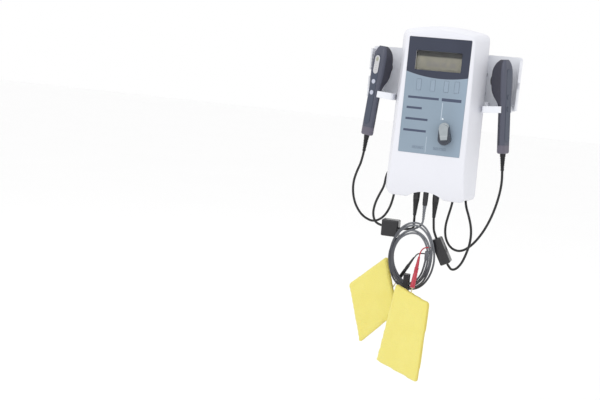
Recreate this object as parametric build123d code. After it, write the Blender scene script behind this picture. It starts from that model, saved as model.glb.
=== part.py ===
from build123d import *
from math import cos, radians, sin, tan
import os

# Ultrasound therapy device for a wall bracket, in millimetres.
# The wall is the plane y = 0 and the front faces -Y. +X is to the right as seen
# from the front and +Z is up. The origin is the centre of the bracket's screws.

# ---------------------------------------------------------------- driving sizes
CLEAR = 0.15                     # gap between parts that are assembled
WALL = 3.0                       # moulded wall

# console
REAR_Y = -3.2                    # back face of the rear housing
SEAM_Y = -34.0                   # joint between the front and rear housings
FRONT_Y = -95.0                  # front face
BASE_Z = -217.0                  # lowest edge of the skirt
FLOOR_Z = -190.0                 # underside of the connector floor
RIM = dict(half_bottom=94.0, half_top=88.0, shoulder=119.0, top=131.0)
FACE = dict(half_bottom=76.0, half_top=68.0, shoulder=110.0, top=119.0)
CASE_CORNER = 14.0
FRONT_WALL = 5.0
CHIN_START_Z = -140.0            # the front curves back below this height
CHIN_RADIUS = 170.0
ARCH_HALF_WIDTH = 38.0           # cut-out over the plugs
ARCH_HEIGHT = 14.0

# rear tray
TRAY_HALF_WIDTH = 82.0
TRAY_TOP = 108.0
TRAY_BASE = -160.0
HOLDER_FLANGE_X = 86.4
HOLDER_SCREW_Y = -18.0
HOLDER_SCREW_Z = (4.0, 42.0)

# wall bracket
BRACKET_WIDTH = 120.0
BRACKET_HEIGHT = 96.0
BRACKET_THICK = 3.0
BRACKET_HOLE = 2.6               # radius
BRACKET_PITCH_X = 80.0
BRACKET_PITCH_Z = 60.0
TONGUE_X = 45.0

# control panel
PANEL_HALF_WIDTH = 62.0
PANEL_TOP = 105.0
PANEL_BASE = -125.0
PANEL_THICK = 2.0
SCREEN_WIDTH = 92.0
SCREEN_HEIGHT = 38.0
SCREEN_Z = 60.0
KEY_X = (-34.0, -6.0, 21.0, 42.0)
KEY_Z = 12.0
KEY_WIDTH = 9.0
KEY_HEIGHT = 22.0
KNOB_X = 30.5
KNOB_Z = -90.0
KNOB_RADIUS = 12.5
KNOB_DEPTH = 18.0
KNOB_REST = 9.0                  # degrees towards the zero mark
SPINDLE_RADIUS = 3.0
BOARD_Y = -84.0                  # front face of the main board
BOARD_THICK = 1.6

# power switch, in the tray's underside
SWITCH_X = -7.0
SWITCH_Y = -19.0
SWITCH_PIVOT_Z = TRAY_BASE + 4.0
ROCKER_REST = -8.0               # degrees, the off side pressed

# connectors, under the floor
PLUG_X = 20.0
HANDSET_SOCKET_Y = -65.0
LEAD_SOCKET_Y = -71.5
SOCKET_DROP = 2.0
PLUG_BODY = 30.0
BOOT_END_Z = -256.0

# handset, in its own frame: top at z = 0, back face towards -Y
HANDSET_LENGTH = 187.0
HANDLE_WIDTH = 27.0
HANDLE_DEPTH = 17.5
CAP_LENGTH = 17.0
RELIEF_LENGTH = 35.0
SHELL_WALL = 2.5
HEAD_Z = -43.0
HEAD_FRONT = 24.0
CAP_RADIUS = 11.5                # transducer face
BUTTON_Z = (-75.0, -98.0)
BUTTON_RADIUS = 4.8
INLAY_WIDTH = 16.0
HANDSET_X = 125.5                # top of the handset, from the middle of the console
HANDSET_Y = -50.0
HANDSET_Z = {-1: 83.0, 1: 76.0}      # left and right
HANDSET_LEAN = 4.8               # degrees, the lower end outwards
HANDSET_TURN = {-1: 30.0, 1: 62.0}   # degrees, the back outwards, left and right
FORK_TOP = -92.6                 # in the handset's frame
CORD_GAP = 0.3                   # between a strain relief and the cord below it

# cords
CORD = 5.0
LEAD_END_Z = -262.5
FERRITE_LEFT = (24.0, 35.0, 36.0)    # narrow side, wide side, length
FERRITE_RIGHT = (22.0, 28.0, 56.0)
HOOK_X = (-86.0, 62.0)
HOOK_Z = -186.0
TAIL = 2.6

# patient lead: its coil, the tie round the coil and the two pin plugs (start, end)
LEAD_PLUG_END_Z = -232.0
COIL_X = -16.0
COIL_Z = -340.0
COIL_HALF_WIDTH = 49.0
COIL_HALF_HEIGHT = 77.8
WINDOW_X = -14.0
WINDOW_Z = -338.0
WINDOW_HALF_WIDTH = 27.0
WINDOW_HALF_HEIGHT = 44.0
COIL_BACK_Y = -69.6
COIL_FRONT_Y = -83.6
TIE_X = -20.0
TIE_WIDTH = 11.0
RED_PLUG = ((3, -88, -336), (0, -112, -397))
RED_PIN = 13
BLACK_PLUG = ((-9, -79, -341), (-40, -61, -396))
BLACK_PIN = 28

# sponge pads
PAD_THICK = 13.0


# ---------------------------------------------------------------- helpers
def block(x0, x1, y0, y1, z0, z1):
    centre = Pos((x0 + x1) / 2, (y0 + y1) / 2, (z0 + z1) / 2)
    return centre * Box(abs(x1 - x0), abs(y1 - y0), abs(z1 - z0))


def rod(start, end, radius, end_radius=None):
    """A cylinder from start to end, or a cone where end_radius is given."""
    first = Vector(*start)
    axis = Vector(*end) - first
    low = (Align.CENTER, Align.CENTER, Align.MIN)
    place = Plane(origin=first, z_dir=axis).location
    if end_radius is None:
        return place * Cylinder(radius, axis.length, align=low)
    return place * Cone(radius, end_radius, axis.length, align=low)


def slab_y(face, y_back, y_front):
    """Extrude a face drawn in X and Z from y_back forwards to y_front."""
    return extrude(Plane.XZ.offset(-y_back) * face, amount=y_back - y_front)


def rounded_slab(x, z, width, height, corner, y_back, y_front):
    return slab_y(Pos(x, z) * RectangleRounded(width, height, corner), y_back, y_front)


def joined(solids):
    """Several separate solids as one node."""
    return Compound(children=list(solids))


# ---------------------------------------------------------------- console
def case_outline(y, half_bottom, half_top, shoulder, top, base=BASE_Z, inset=0.0):
    low = base
    high = shoulder - inset
    right_low = (half_bottom - inset, low)
    right_high = (half_top - inset, high)
    left_high = (-half_top + inset, high)
    left_low = (-half_bottom + inset, low)
    sides = [
        Line(right_low, right_high),
        ThreePointArc(right_high, (0, top - inset), left_high),
        Line(left_high, left_low),
        Line(left_low, right_low),
    ]
    face = make_face(sides)
    face = fillet(face.vertices(), CASE_CORNER - inset)
    return Plane.XZ.offset(-y) * face


def chin_profile(inset):
    """Everything behind the front face and its curved lower part."""
    arc_centre_y = FRONT_Y + CHIN_RADIUS
    radius = CHIN_RADIUS - inset
    drop = CHIN_START_Z - BASE_Z + 5
    foot_y = arc_centre_y - (radius ** 2 - drop ** 2) ** 0.5
    start = (FRONT_Y + inset, CHIN_START_Z)
    foot = (foot_y, CHIN_START_Z - drop)
    sides = [
        TangentArc(start, foot, tangent=(0, -1)),
        Line(foot, (40, CHIN_START_Z - drop)),
        Line((40, CHIN_START_Z - drop), (40, 160)),
        Line((40, 160), (FRONT_Y + inset, 160)),
        Line((FRONT_Y + inset, 160), start),
    ]
    face = Plane.YZ * make_face(sides)
    return extrude(face, amount=130, both=True)


def case_solid(inset=0.0, depth_inset=0.0, base=BASE_Z):
    rim = case_outline(SEAM_Y, **RIM, base=base, inset=inset)
    front = case_outline(FRONT_Y, **FACE, base=base, inset=inset)
    return loft([rim, front]) & chin_profile(depth_inset)


def screw_places():
    """X and Z of the screws that hold the two housings together."""
    return [(side * x, z) for side in (-1, 1) for x, z in ((74, 96), (78, -30), (78, -150))]


def front_housing():
    body = case_solid()
    face = body.faces().sort_by(Axis.Y)[0]
    body = fillet(face.edges(), 4.0)
    hollow = case_solid(inset=WALL, depth_inset=FRONT_WALL, base=BASE_Z - 20)
    cavity = hollow & block(-120, 120, -100, 0, FLOOR_Z + WALL, 150)
    skirt = hollow & block(-120, 120, -100, 0, BASE_Z - 30, FLOOR_Z)
    body -= cavity
    body -= skirt
    # panel recess and the openings behind it
    panel_z = (PANEL_TOP + PANEL_BASE) / 2
    width = 2 * (PANEL_HALF_WIDTH + CLEAR)
    height = PANEL_TOP - PANEL_BASE + 2 * CLEAR
    body -= rounded_slab(0, panel_z, width, height, 2, FRONT_Y + PANEL_THICK, FRONT_Y - 5)
    body -= rounded_slab(0, SCREEN_Z, SCREEN_WIDTH, SCREEN_HEIGHT, 1, FRONT_Y + 10, FRONT_Y - 5)
    for x in KEY_X:
        body -= rounded_slab(x, KEY_Z, KEY_WIDTH + 0.6, KEY_HEIGHT + 0.6, 1.5, FRONT_Y + 10, FRONT_Y - 5)
    body -= rod((KNOB_X, FRONT_Y + 10, KNOB_Z), (KNOB_X, FRONT_Y - 5, KNOB_Z), SPINDLE_RADIUS + 1)
    # arched cut-out over the plugs
    arch = make_face([
        ThreePointArc((-ARCH_HALF_WIDTH, BASE_Z), (0, BASE_Z + ARCH_HEIGHT), (ARCH_HALF_WIDTH, BASE_Z)),
        Polyline((ARCH_HALF_WIDTH, BASE_Z), (ARCH_HALF_WIDTH, BASE_Z - 9),
                 (-ARCH_HALF_WIDTH, BASE_Z - 9), (-ARCH_HALF_WIDTH, BASE_Z)),
    ])
    body -= slab_y(arch, -60, -110)
    for x in (-PLUG_X, PLUG_X):
        body -= rod((x, HANDSET_SOCKET_Y, FLOOR_Z - 5), (x, HANDSET_SOCKET_Y, FLOOR_Z + 10), 7.1)
    body -= rod((0, LEAD_SOCKET_Y, FLOOR_Z - 5), (0, LEAD_SOCKET_Y, FLOOR_Z + 10), 5.6)
    # screw bosses for the rear housing
    for x, z in screw_places():
        boss = rod((x, SEAM_Y, z), (x, SEAM_Y - 24, z), 5)
        body += boss
    for x, z in screw_places():
        body -= rod((x, SEAM_Y + 1, z), (x, SEAM_Y - 16, z), 1.75)
    return body


def rear_housing():
    rim = case_outline(SEAM_Y, **RIM, inset=0.6)
    flange = extrude(rim, amount=-WALL)
    flange &= block(-120, 120, SEAM_Y - 1, SEAM_Y + WALL + 1, FLOOR_Z - 8, 150)
    tray_z = (TRAY_TOP + TRAY_BASE) / 2
    height = TRAY_TOP - TRAY_BASE
    tray = rounded_slab(0, tray_z, 2 * TRAY_HALF_WIDTH, height, 10, REAR_Y, SEAM_Y + 1)
    body = flange + tray
    body -= rounded_slab(0, tray_z, 2 * (TRAY_HALF_WIDTH - WALL), height - 2 * WALL, 7,
                         REAR_Y - WALL, SEAM_Y - 1)
    # slots for the bracket's tongues
    for side in (-1, 1):
        body -= block(side * TONGUE_X - 9, side * TONGUE_X + 9, REAR_Y + 1, REAR_Y - WALL - 1, -12, 18)
    # mains inlet and power switch openings, in the underside
    body -= block(-58, -30, -29, -9, TRAY_BASE - 1, TRAY_BASE + WALL + 1)
    body -= block(SWITCH_X - 7, SWITCH_X + 7, SWITCH_Y - 5.6, SWITCH_Y + 5.6,
                  TRAY_BASE - 1, TRAY_BASE + WALL + 1)
    for x, z in screw_places():
        body -= rod((x, SEAM_Y - 1, z), (x, SEAM_Y + WALL + 1, z), 2.0)
        body -= rod((x, SEAM_Y + WALL, z), (x, REAR_Y + 1, z), 4.2)
    # pegs that carry the slack of the handset cords
    for x in HOOK_X:
        body += rod((x, SEAM_Y + WALL - 0.5, HOOK_Z), (x, -7, HOOK_Z), 7.5)
        body += rod((x, -9, HOOK_Z), (x, -7, HOOK_Z), 11)
    # bosses for the holders' screws
    for side in (-1, 1):
        for z in HOLDER_SCREW_Z:
            body += rod((side * (TRAY_HALF_WIDTH - 1), HOLDER_SCREW_Y, z),
                        (side * (TRAY_HALF_WIDTH - 10), HOLDER_SCREW_Y, z), 4.5)
            body -= rod((side * (TRAY_HALF_WIDTH + 1), HOLDER_SCREW_Y, z),
                        (side * (TRAY_HALF_WIDTH - 11), HOLDER_SCREW_Y, z), 1.75)
    # vents in the tray's top
    for step in range(-4, 5):
        body -= block(step * 14 - 4, step * 14 + 4, -24, -12, TRAY_TOP - WALL - 1, TRAY_TOP + 1)
    return body


def wall_bracket():
    plate = rounded_slab(0, 0, BRACKET_WIDTH, BRACKET_HEIGHT, 6, 0, -BRACKET_THICK)
    for x in (-BRACKET_PITCH_X / 2, BRACKET_PITCH_X / 2):
        for z in (-BRACKET_PITCH_Z / 2, BRACKET_PITCH_Z / 2):
            plate -= rod((x, 1, z), (x, -BRACKET_THICK - 1, z), BRACKET_HOLE)
            plate -= rod((x, -1.4, z), (x, -BRACKET_THICK - 0.01, z), BRACKET_HOLE, BRACKET_HOLE * 1.8)
    lip_back = REAR_Y - WALL - 0.2
    for side in (-1, 1):
        centre = side * TONGUE_X
        plate += block(centre - 8, centre + 8, -BRACKET_THICK + 0.5, lip_back - 2, -8, -4)
        plate += block(centre - 8, centre + 8, lip_back, lip_back - 2, -8, 8)
    return plate


def housing_screws():
    """Identical pan-head screws: six along Y in the housings, four along X in the holders."""
    head = rod((0, 0, 0), (0, 0, 2.4), 3.5) - rod((0, 0, 1.0), (0, 0, 3), 1.6)
    screw = head + rod((0, 0, 0.5), (0, 0, -13), 1.7)
    screws = []
    for x, z in screw_places():
        screws.append(Plane(origin=(x, SEAM_Y + WALL, z), z_dir=(0, 1, 0)).location * screw)
    for side in (-1, 1):
        for z in HOLDER_SCREW_Z:
            seat = (side * HOLDER_FLANGE_X, HOLDER_SCREW_Y, z)
            screws.append(Plane(origin=seat, z_dir=(side, 0, 0)).location * screw)
    return joined(screws)


def control_panel():
    panel_z = (PANEL_TOP + PANEL_BASE) / 2
    height = PANEL_TOP - PANEL_BASE
    back = FRONT_Y + PANEL_THICK - 0.05
    front = FRONT_Y - 0.3
    panel = rounded_slab(0, panel_z, 2 * PANEL_HALF_WIDTH, height, 1.8, back, front)
    panel -= rounded_slab(0, SCREEN_Z, SCREEN_WIDTH, SCREEN_HEIGHT, 1, back + 2, front - 2)
    for x in KEY_X:
        panel -= rounded_slab(x, KEY_Z, KEY_WIDTH + 0.6, KEY_HEIGHT + 0.6, 1.5, back + 2, front - 2)
    panel -= rod((KNOB_X, back + 2, KNOB_Z), (KNOB_X, front - 2, KNOB_Z), SPINDLE_RADIUS + 1)
    return panel


def display_window():
    back = FRONT_Y + FRONT_WALL + 2.1
    return rounded_slab(0, SCREEN_Z, SCREEN_WIDTH + 12, SCREEN_HEIGHT + 10, 2, back, back - 2)


def lcd_module():
    back = FRONT_Y + FRONT_WALL + 2.2
    frame = rounded_slab(0, SCREEN_Z, SCREEN_WIDTH + 8, SCREEN_HEIGHT + 6, 1, back + 6, back)
    board = rounded_slab(0, SCREEN_Z, SCREEN_WIDTH + 14, SCREEN_HEIGHT + 12, 1, back + 7.6, back + 6)
    return frame + board


def main_board():
    back = BOARD_Y + BOARD_THICK
    board = block(-60, 60, BOARD_Y, back, -132, 30)
    for x in KEY_X:
        board += block(x - 3, x + 3, BOARD_Y + 0.5, BOARD_Y - 3.4, KEY_Z - 3, KEY_Z + 3)
    # rotary control
    board += block(KNOB_X - 7, KNOB_X + 7, BOARD_Y + 0.5, BOARD_Y - 5.6, KNOB_Z - 7, KNOB_Z + 7)
    board -= rod((KNOB_X, BOARD_Y - 6, KNOB_Z), (KNOB_X, BOARD_Y + 0.4, KNOB_Z), SPINDLE_RADIUS + 0.06)
    # output stages with their heat sinks, and a processor
    for x in (-38, 12):
        board += block(x - 12, x + 12, back - 0.5, back + 14, -60, -24)
    board += block(-20, 8, back - 0.5, back + 2.5, -100, -76)
    board += block(-50, -30, back - 0.5, back + 9, -126, -110)
    return board


def power_supply():
    board = block(-70, -6, -28, -26.4, -120, 20)
    board += block(-62, -18, -26.9, -10, -70, -30)
    board += rod((-28, -26.9, -96), (-28, -11, -96), 9)
    board += rod((-52, -26.9, -96), (-52, -11, -96), 9)
    board += block(-66, -14, -26.9, -18, -10, 12)
    return board


def control_knob():
    """Egg-shaped knob with a tapered pointer, on its spindle. Built upright, then turned."""
    back = FRONT_Y - 0.8
    front = back - KNOB_DEPTH
    egg = make_hull((Circle(KNOB_RADIUS) + Pos(0, 19) * Circle(9.6)).edges())
    body = slab_y(egg, back, front)
    body = fillet(body.faces().sort_by(Axis.Y)[0].edges(), 2.0)
    tongue = make_hull((Pos(0, 2) * Circle(7.5) + Pos(0, 22) * Circle(9.8)).edges())
    pointer = slab_y(tongue, back, front - 1.5)
    ramp = Plane.YZ * make_face(Polyline(
        (back + 1, -20), (front - 1.5, -20), (front - 1.5, 4), (back - 6, 33), (back + 1, 33), close=True))
    pointer &= extrude(ramp, amount=20, both=True)
    spindle = rod((0, front + 4, 0), (0, BOARD_Y, 0), SPINDLE_RADIUS)
    knob = body + pointer + spindle
    return Pos(KNOB_X, 0, KNOB_Z) * Rot(0, -KNOB_REST, 0) * knob


def soft_key(x):
    front = FRONT_Y - 0.7
    cap = rounded_slab(x, KEY_Z, KEY_WIDTH, KEY_HEIGHT, 1.3, FRONT_Y + FRONT_WALL + 1.4, front)
    cap = fillet(cap.faces().sort_by(Axis.Y)[0].edges(), 0.3)
    flange_front = FRONT_Y + FRONT_WALL + 0.3
    return cap + rounded_slab(x, KEY_Z, KEY_WIDTH + 3, KEY_HEIGHT + 3, 2, flange_front + 1.1, flange_front)


def socket(x, y, radius, pin_radius):
    top = FLOOR_Z + 16
    flange = rod((x, y, FLOOR_Z), (x, y, FLOOR_Z - SOCKET_DROP), radius + 1.5)
    barrel = rod((x, y, FLOOR_Z - 1), (x, y, top), radius - CLEAR)
    bore = rod((x, y, FLOOR_Z - SOCKET_DROP - 1), (x, y, FLOOR_Z + 11), pin_radius + CLEAR)
    return flange + barrel - bore


def output_sockets():
    return joined([
        socket(-PLUG_X, HANDSET_SOCKET_Y, 7.1, 4.0),
        socket(0, LEAD_SOCKET_Y, 5.6, 3.0),
        socket(PLUG_X, HANDSET_SOCKET_Y, 7.1, 4.0),
    ])


def mains_inlet():
    body = block(-57.8, -30.2, -28.8, -9.2, TRAY_BASE + 0.5, TRAY_BASE + 22)
    flange = block(-60, -28, -30.5, -7.5, TRAY_BASE - 2, TRAY_BASE)
    inlet = body + flange + block(-57.8, -30.2, -28.8, -9.2, TRAY_BASE - 0.5, TRAY_BASE + 1)
    inlet -= block(-55, -33, -26, -12, TRAY_BASE - 3, TRAY_BASE + 16)
    for x in (-50, -44, -38):
        inlet += block(x - 0.8, x + 0.8, -21, -17, TRAY_BASE + 4, TRAY_BASE + 17)
    return inlet


def power_switch():
    """A rocker that tips about an axis along Y. It rests tipped to its off side."""
    half = 5.0
    sides = [
        ThreePointArc((-5.6, 4.2), (0, 7), (5.6, 4.2)),
        Polyline((5.6, 4.2), (5.6, -6.6), (0, -5.6), (-5.6, -6.6), (-5.6, 4.2)),
    ]
    rocker = slab_y(make_face(sides), half, -half)
    return Pos(SWITCH_X, SWITCH_Y, SWITCH_PIVOT_Z) * Rot(0, ROCKER_REST, 0) * rocker


# ---------------------------------------------------------------- handset and holder
def handset_frame(side, place=None):
    """side is -1 on the left and +1 on the right. With place, its handset is carried to that side."""
    place = place or side
    lean = Rot(0, -place * HANDSET_LEAN, 0)
    turn = Rot(0, 0, place * HANDSET_TURN[side])
    return Pos(place * HANDSET_X, HANDSET_Y, HANDSET_Z[side]) * lean * turn


def handset_section(z, width, depth, corner, inset, back=-HANDLE_DEPTH / 2):
    """A rounded rectangle across the handset, its back on the plane y = back."""
    centre_y = back + depth / 2
    corner = min(corner, width / 2 - 0.1, depth / 2 - 0.1)
    sketch = RectangleRounded(width - 2 * inset, depth - 2 * inset, max(corner - inset, 0.8))
    return Pos(0, centre_y, z) * sketch


def handset_solid(inset=0.0):
    handle = handset_section(-HANDSET_LENGTH + CAP_LENGTH, HANDLE_WIDTH, HANDLE_DEPTH, 7.5, inset)
    solid = extrude(handle, amount=HANDSET_LENGTH - CAP_LENGTH - 100)
    head = [
        handset_section(-100, HANDLE_WIDTH, HANDLE_DEPTH, 7.5, inset),
        handset_section(-93, 27.2, 18.2, 7.5, inset),
        handset_section(-84, 28, 21.5, 7, inset),
        handset_section(-70, 30, 30, 6, inset),
        handset_section(-55, 31.5, 33.4, 5.5, inset),
        handset_section(-38, 32, 33.4, 5.5, inset),
        handset_section(-22, 31, 31.5, 6, inset, back=-8.4),
        handset_section(-9 - inset / 2, 26, 24, 6, inset, back=-6.5),
        handset_section(-1 - inset, 16, 13, 5, inset, back=-3.5),
    ]
    solid += loft(head)
    return solid & block(-40, 40, -20, HEAD_FRONT - inset, -250, 5)


def handset_shells():
    """The back shell and the head shell, both hollow, split on the plane y = 0."""
    outer = handset_solid()
    outer = outer - handset_solid(SHELL_WALL)
    floor = -HANDSET_LENGTH + CAP_LENGTH
    outer -= block(-6, 6, -5, 5, floor - 1, floor + 4)
    back = outer & block(-40, 40, -20, 0, -250, 10)
    head = outer & block(-40, 40, 0, 40, -250, 10)
    head -= rod((0, HEAD_FRONT - 6, HEAD_Z), (0, HEAD_FRONT + 1, HEAD_Z), CAP_RADIUS + CLEAR)
    inlay_back = -HANDLE_DEPTH / 2
    back -= inlay_prism(CLEAR, inlay_back + 0.9, inlay_back - 2)
    for z in BUTTON_Z:
        back -= rod((0, -12, z), (0, -4, z), BUTTON_RADIUS + 0.3)
    return back, head


def inlay_prism(grow, y_inner, y_outer):
    top = -19.0
    base = -HANDSET_LENGTH + CAP_LENGTH + 6
    width = INLAY_WIDTH + 2 * grow
    height = top - base + 2 * grow
    return rounded_slab(0, (top + base) / 2, width, height, width / 2 - 0.2, y_inner, y_outer)


def handset_parts():
    """Every part of one handset, in the handset's own frame."""
    floor = -HANDSET_LENGTH + CAP_LENGTH
    back_shell, head_shell = handset_shells()
    inlay_back = -HANDLE_DEPTH / 2
    inlay = inlay_prism(0, inlay_back + 0.9 - 0.05, inlay_back - 0.3)
    for z in BUTTON_Z:
        inlay -= rod((0, -12, z), (0, -4, z), BUTTON_RADIUS + 0.3)
    buttons = []
    for z in BUTTON_Z:
        stem = rod((0, -9.9, z), (0, -5.2, z), BUTTON_RADIUS)
        stem = fillet(stem.faces().sort_by(Axis.Y)[0].edges(), 0.6)
        buttons.append(stem + rod((0, -6.0, z), (0, -5.0, z), BUTTON_RADIUS + 1.3))
    board = block(-8, 8, -2.6, -1.2, -158, -66)
    for z in BUTTON_Z:
        board += rod((0, -2.5, z), (0, -4.1, z), 3)
    board += block(-6, 6, -1.7, 2.5, -140, -116)
    face = rod((0, 12, HEAD_Z), (0, 28, HEAD_Z), CAP_RADIUS)
    face = fillet(face.faces().sort_by(Axis.Y)[-1].edges(), 1.2)
    face -= rod((0, 11, HEAD_Z), (0, 26, HEAD_Z), CAP_RADIUS - 1.5)
    seal = rod((0, HEAD_FRONT, HEAD_Z), (0, HEAD_FRONT + 2.2, HEAD_Z), CAP_RADIUS + 2.5)
    seal = fillet(seal.faces().sort_by(Axis.Y)[-1].edges(), 0.8)
    seal -= rod((0, HEAD_FRONT - 1, HEAD_Z), (0, HEAD_FRONT + 4, HEAD_Z), CAP_RADIUS + 0.05)
    piezo = rod((0, 23.8, HEAD_Z), (0, 25.9, HEAD_Z), CAP_RADIUS - 3)
    cap = extrude(handset_section(floor - 0.1, HANDLE_WIDTH, HANDLE_DEPTH, 7.5, 0), amount=-CAP_LENGTH + 0.1)
    cap = fillet(cap.faces().sort_by(Axis.Z)[0].edges(), 4.0)
    cap -= rod((0, 0, -HANDSET_LENGTH - 1), (0, 0, floor + 1), 4.0)
    relief = rod((0, 0, -HANDSET_LENGTH - RELIEF_LENGTH), (0, 0, -HANDSET_LENGTH), 3.3, 5.8)
    relief += rod((0, 0, -HANDSET_LENGTH - 0.5), (0, 0, floor - 2), 4.0 - CLEAR)
    relief -= rod((0, 0, -HANDSET_LENGTH - RELIEF_LENGTH + 10), (0, 0, floor), 2.0)
    return {
        "back_shell": back_shell,
        "head_shell": head_shell,
        "inlay": inlay,
        "button_upper": buttons[0],
        "button_lower": buttons[1],
        "board": board,
        "transducer_face": face,
        "rim_seal": seal,
        "piezo_disc": piezo,
        "end_cap": cap,
        "strain_relief": relief,
    }


def holder(side):
    """A cradle on the console's side: back plate, outer wall and a forked shelf.
    It is built for the right side, to suit this side's handset, and mirrored for the left."""
    plate = block(82.4, 154.5, -9, -5, -26, 82)
    plate = fillet(plate.edges().filter_by(Axis.Y), 6)
    flange = block(TRAY_HALF_WIDTH + 0.4, HOLDER_FLANGE_X, -30, -7, -20, 66)
    outer = block(151, 154.5, -31, -6, -24, 76)
    outer -= block(150, 156, -32, -16, 19, 32)
    shelf = block(91, 146, -64, -7, -40, 12)
    shelf = fillet(shelf.edges().filter_by(Axis.Z), 6)
    frame = handset_frame(side, place=1)
    shelf &= frame * block(-60, 60, -60, 60, FORK_TOP - 13, FORK_TOP)
    shelf -= frame * block(-HANDLE_WIDTH / 2 - 1, HANDLE_WIDTH / 2 + 1, -60, HANDLE_DEPTH / 2 + 1, -140, -80)
    web = block(84, 98, -31, -8, -26, -12)
    body = plate + flange + outer + shelf + web
    for z in HOLDER_SCREW_Z:
        body -= rod((80, HOLDER_SCREW_Y, z), (88, HOLDER_SCREW_Y, z), 2.2)
    if side > 0:
        return body
    return mirror(body, Plane.YZ)


# ---------------------------------------------------------------- cords
def bend_radii(points):
    """0.45 of the shorter run over the tangent of half the turn, at each corner."""
    radii = []
    for before, here, after in zip(points, points[1:], points[2:]):
        run_in = Vector(*here) - Vector(*before)
        run_out = Vector(*after) - Vector(*here)
        turn = radians(run_in.get_angle(run_out))
        radii.append(0.45 * min(run_in.length, run_out.length) / tan(turn / 2))
    return radii


def cord_tube(name, points, diameter):
    radii = bend_radii(points)
    path = FilletPolyline(*points, radius=radii)
    section = Plane(origin=path @ 0, z_dir=path % 0) * Circle(diameter / 2)
    tube = sweep(section, path=path)
    expected = path.length * 3.14159265 * diameter ** 2 / 4
    print(name, "length", round(path.length, 1), "radii", [round(r, 1) for r in radii],
          "volume ratio", round(tube.volume / expected, 4))
    return tube


def relief_end(side):
    end = handset_frame(side) * Pos(0, 0, -HANDSET_LENGTH - RELIEF_LENGTH - CORD_GAP)
    return (end.position.X, end.position.Y, end.position.Z)


LEFT_CORD = [
    relief_end(-1), (-147, -50, -161), (-155, -49, -181), (-161, -48, -205), (-160, -46, -231),
    (-152, -43, -256), (-136, -39, -277), (-113, -35, -287), (-93, -32, -276), (-81, -30, -254),
    (-76, -28, -230), (-74, -26, -207), (-74, -20, -187), (-80, -18, -174), (-92, -18, -173),
    (-98, -20, -186), (-98, -27, -208), (-104, -40, -226), (-110, -49, -247), (-111, -52, -271),
    (-99, -51, -291), (-22, -53, -290), (-20, -61, -273), (-PLUG_X, HANDSET_SOCKET_Y, BOOT_END_Z),
]
RIGHT_CORD = [
    relief_end(1), (146, -50, -162), (145, -49, -187), (140, -47, -217), (131, -43, -249),
    (117, -38, -281), (99, -33, -308), (78, -29, -325), (57, -26, -322), (43, -25, -304),
    (39, -25, -279), (43, -25, -254), (48, -25, -230), (50, -26, -207), (50, -20, -187),
    (56, -18, -174), (68, -18, -173), (74, -20, -186), (74, -27, -208), (79, -40, -227),
    (89, -48, -247), (97, -51, -271), (98, -52, -298), (92, -52, -325), (84, -51, -347),
    (72, -50, -361), (60, -50, -359), (21.5, -50, -290), (20.5, -59, -272),
    (PLUG_X, HANDSET_SOCKET_Y, BOOT_END_Z),
]


def ferrite(start, end, size, share, wide_axis):
    """A snap-on core of two half shells and two half cores.
    It sits on the straight run start to end, its middle at this share of the run."""
    first = Vector(*start)
    run = Vector(*end) - first
    frame = Plane(origin=first + run * share, x_dir=wide_axis, z_dir=run.normalized()).location
    narrow, wide, length = size
    bore = narrow / 2 - 1.8
    shell = Box(wide, narrow, length)
    shell = fillet(shell.edges(), 3.0)
    shell -= Cylinder(bore, length - 7)
    shell -= Cylinder(CORD / 2 + 0.25, length + 2)
    core = Cylinder(bore - 0.2, length - 7.4) - Cylinder(CORD / 2 + 0.4, length)
    halves = []
    for side in (-1, 1):
        half_space = Pos(0, side * 25.05, 0) * Box(100, 50, 100)
        halves.append(shell & half_space)
        halves.append(core & half_space)
    return joined([frame * half for half in halves])


def handset_plug(x):
    top = FLOOR_Z - SOCKET_DROP
    body = rod((x, HANDSET_SOCKET_Y, top - PLUG_BODY), (x, HANDSET_SOCKET_Y, top - 0.05), 7.4)
    body = fillet(body.edges(), 0.8)
    return body + rod((x, HANDSET_SOCKET_Y, top - 1), (x, HANDSET_SOCKET_Y, FLOOR_Z + 9), 4.0)


def handset_plug_boot(x):
    top = FLOOR_Z - SOCKET_DROP - PLUG_BODY
    return rod((x, HANDSET_SOCKET_Y, BOOT_END_Z), (x, HANDSET_SOCKET_Y, top), 3.4, 6.8)


# ---------------------------------------------------------------- patient lead
def lead_plug():
    top = FLOOR_Z - SOCKET_DROP
    body = rod((0, LEAD_SOCKET_Y, LEAD_PLUG_END_Z), (0, LEAD_SOCKET_Y, top - 0.05), 5.6)
    body = fillet(body.edges(), 0.8)
    return body + rod((0, LEAD_SOCKET_Y, top - 1), (0, LEAD_SOCKET_Y, FLOOR_Z + 9), 3.0)


def lead_boot():
    return rod((0, LEAD_SOCKET_Y, LEAD_END_Z), (0, LEAD_SOCKET_Y, LEAD_PLUG_END_Z), 2.4, 4.0)


def lead_coil():
    outer = Pos(COIL_X, COIL_Z) * Ellipse(COIL_HALF_WIDTH, COIL_HALF_HEIGHT)
    window = Pos(WINDOW_X, WINDOW_Z) * Ellipse(WINDOW_HALF_WIDTH, WINDOW_HALF_HEIGHT)
    ring = slab_y(outer - window, COIL_BACK_Y, COIL_FRONT_Y)
    return fillet(ring.edges(), 3.0)


def coil_tie():
    high = WINDOW_Z - WINDOW_HALF_HEIGHT + 4
    low = COIL_Z - COIL_HALF_HEIGHT - 3
    band = block(TIE_X - TIE_WIDTH / 2, TIE_X + TIE_WIDTH / 2, COIL_BACK_Y + 2, COIL_FRONT_Y - 2, low, high)
    band = fillet(band.edges().filter_by(Axis.X), 3.0)
    core = block(TIE_X - 20, TIE_X + 20, COIL_BACK_Y + 0.6, COIL_FRONT_Y - 0.6, low + 1.4, high - 1.4)
    return band - core


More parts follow.
